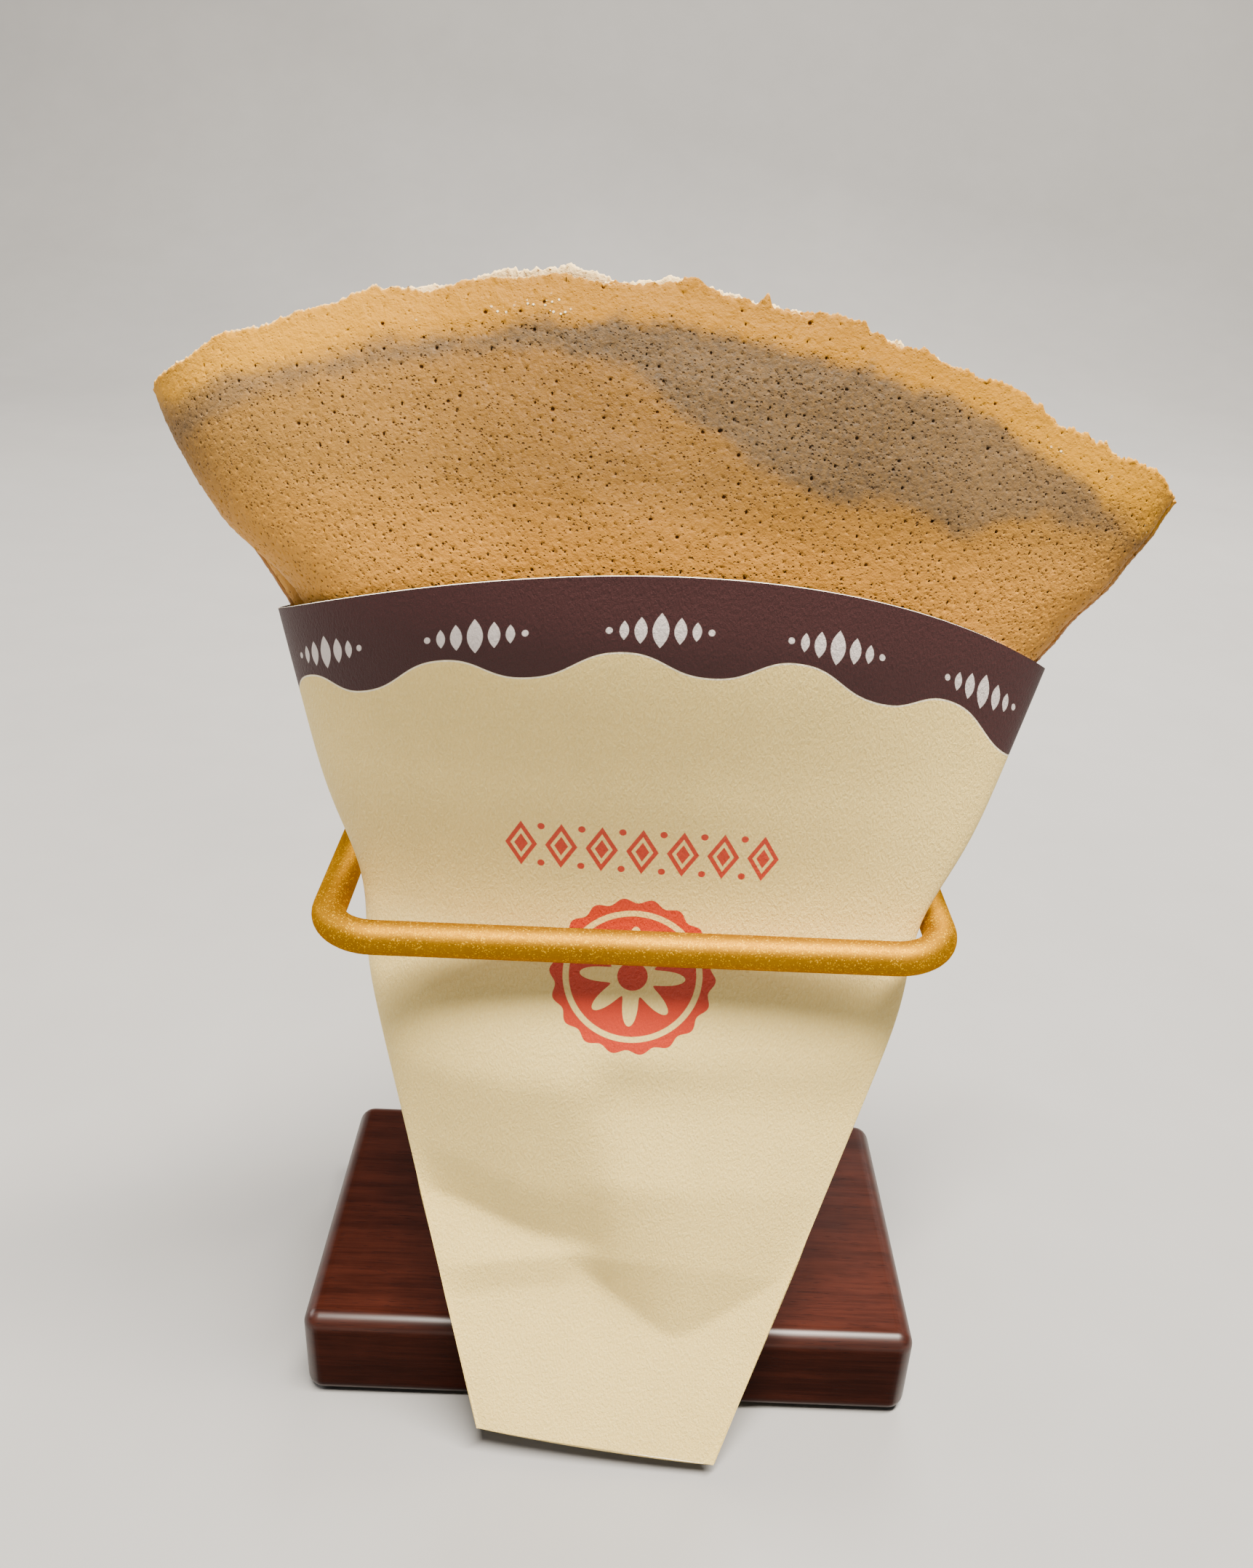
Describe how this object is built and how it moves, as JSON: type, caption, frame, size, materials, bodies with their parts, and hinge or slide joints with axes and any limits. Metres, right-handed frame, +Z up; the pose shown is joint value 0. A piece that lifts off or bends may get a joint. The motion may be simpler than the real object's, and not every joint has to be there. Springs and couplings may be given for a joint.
{
  "type": "crepe in a stand",
  "caption": "Folded crepe fan in an open-topped tapered card sleeve, held leaning back in a level metal loop on a post, which rises from a rectangular wooden block.",
  "frame": {"origin": "centre of the wooden block's underside, on the surface that the stand rests on", "axes": "+Z up, -Y out of the sleeve's front, +X to the right as seen from the front"},
  "size_m": [0.2013, 0.0987, 0.2632],
  "materials": {
    "wood": "dark red-brown lacquered wood, satin",
    "gold": "gold metallic paint with a fine sparkle, satin",
    "card": "cream card with a dark printed band along the mouth, matte",
    "crepe": null
  },
  "bodies": {
    "root": {"holder_base": "wood", "holder_ring": "gold", "sleeve": "card", "crepe": "crepe"}
  },
  "joints": []
}
